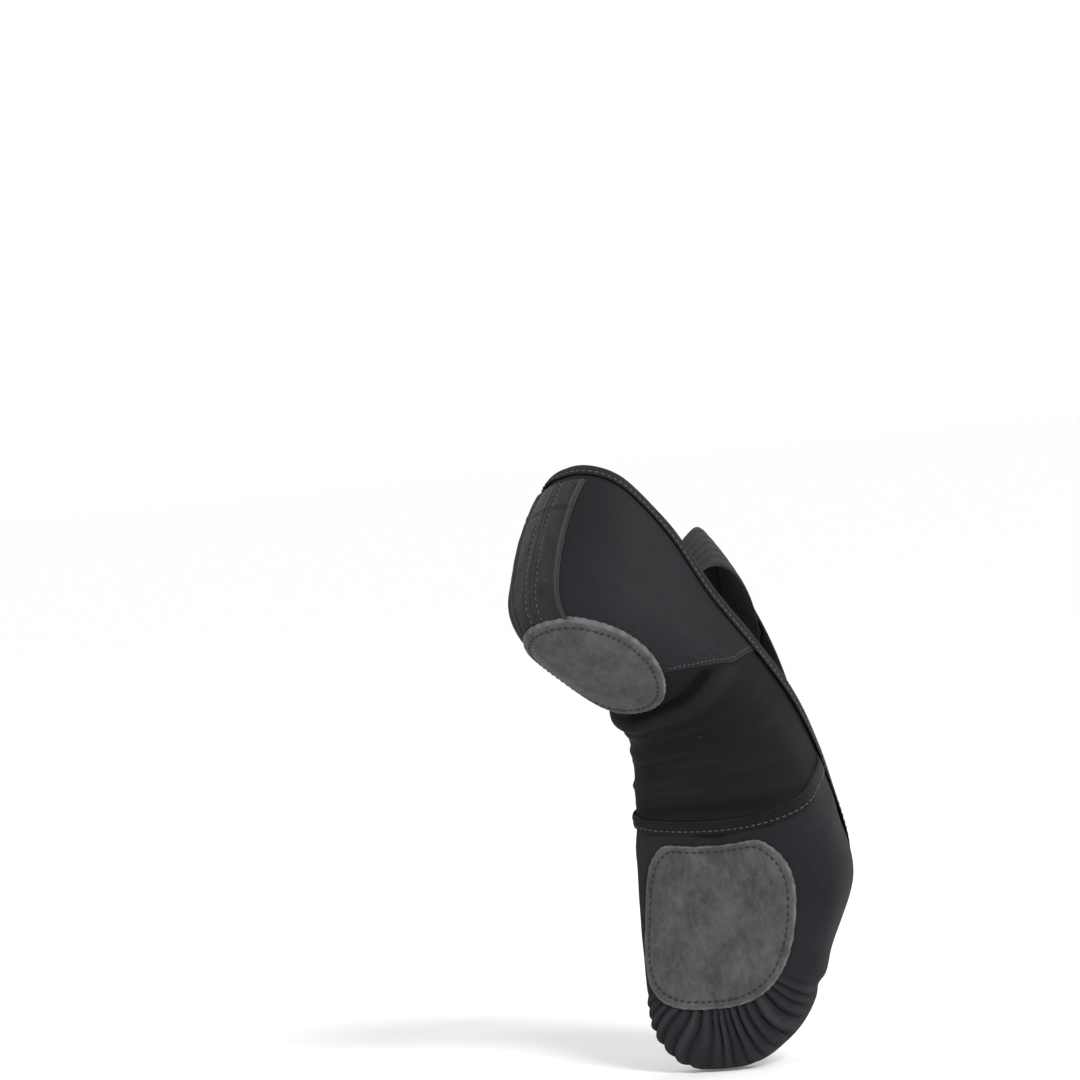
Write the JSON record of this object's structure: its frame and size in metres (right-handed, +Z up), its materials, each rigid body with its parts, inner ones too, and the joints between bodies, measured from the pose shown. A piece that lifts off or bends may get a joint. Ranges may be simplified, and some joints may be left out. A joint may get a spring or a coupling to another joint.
{
  "type": "ballet slipper",
  "caption": "Soft split-sole ballet slipper for a right foot, shaped as worn on a pointed foot, with crossed elastics.",
  "frame": {"origin": "middle of the foot opening of the slipper on a pointed foot", "axes": "+Z up with the toe pointing down, +X towards the instep, +Y towards the inner side of the foot"},
  "size_m": [0.1438, 0.1008, 0.2433],
  "materials": {
    "canvas": "matte stretch canvas, fine plain weave",
    "lining": "soft brushed knit lining",
    "stretch_knit": "smooth dense stretch knit",
    "suede": "mottled napped split suede",
    "thread": "spun thread",
    "elastic": "ribbed woven elastic"
  },
  "bodies": {
    "forefoot": {"vamp": "canvas", "vamp_lining": "lining", "arch_panel": "stretch_knit", "front_sole_patch": "suede", "front_sole_stitching": "thread", "front_inner_pad": "lining", "topline_binding": "canvas", "topline_stitching": "thread", "vamp_seam_tape": "canvas", "vamp_seam_stitching": "thread", "elastic_strap_under": "elastic", "elastic_strap_over": "elastic"},
    "heel": {"heel_sole_patch": "suede", "heel_sole_stitching": "thread", "heel_inner_pad": "lining", "quarter_outer": "canvas", "quarter_lining_outer": "lining", "backstay_outer": "suede", "backstay_stitching_outer": "thread", "quarter_seam_stitching_outer": "thread", "quarter_inner": "canvas", "quarter_lining_inner": "lining", "backstay_inner": "suede", "backstay_stitching_inner": "thread", "quarter_seam_stitching_inner": "thread"}
  },
  "joints": [
    {"name": "arch_bend", "type": "hinge", "parent": "forefoot", "child": "heel", "pos_m": [-0.01961, -0.0022, -0.02906], "axis": [0.3032, 0.9418, 0.145], "range_deg": [-8, 60], "stiffness_Nm_per_rad": 0.4, "deforming": ["arch_panel", "topline_binding", "topline_stitching", "elastic_strap_under", "elastic_strap_over"]}
  ]
}
